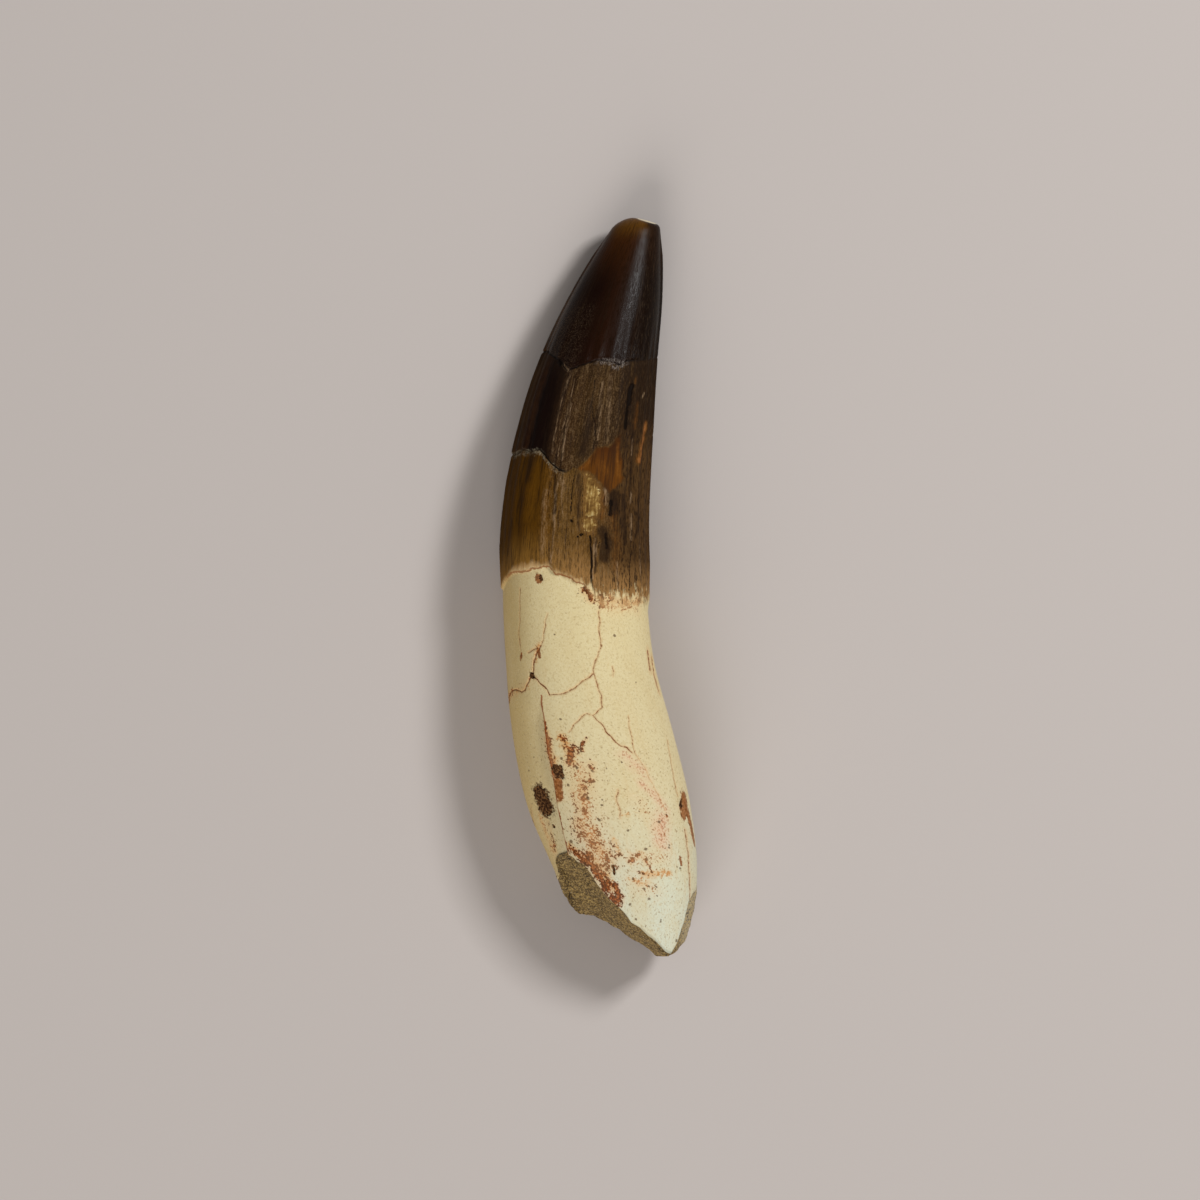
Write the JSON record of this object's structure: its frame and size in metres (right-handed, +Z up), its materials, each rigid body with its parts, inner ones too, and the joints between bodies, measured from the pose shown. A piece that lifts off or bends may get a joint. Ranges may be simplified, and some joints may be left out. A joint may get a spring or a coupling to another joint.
{
  "type": "fossil spinosaurus tooth",
  "caption": "Curved fossil tooth with a dark fluted enamel crown, a cream root and sandstone matrix in its broken root end, lying on its side.",
  "frame": {"origin": "on the resting plane, under the middle of the bounding box", "axes": "+Y along the tooth from the broken root towards the tip, +Z up from the resting plane, +X towards the concave edge"},
  "size_m": [0.0269, 0.1002, 0.0175],
  "materials": {
    "enamel_and_dentine": "polished dark enamel crown, satin cream dentine root",
    "sandstone": "matt and gritty"
  },
  "bodies": {
    "root": {"tooth": "enamel_and_dentine", "matrix": "sandstone"}
  },
  "joints": []
}
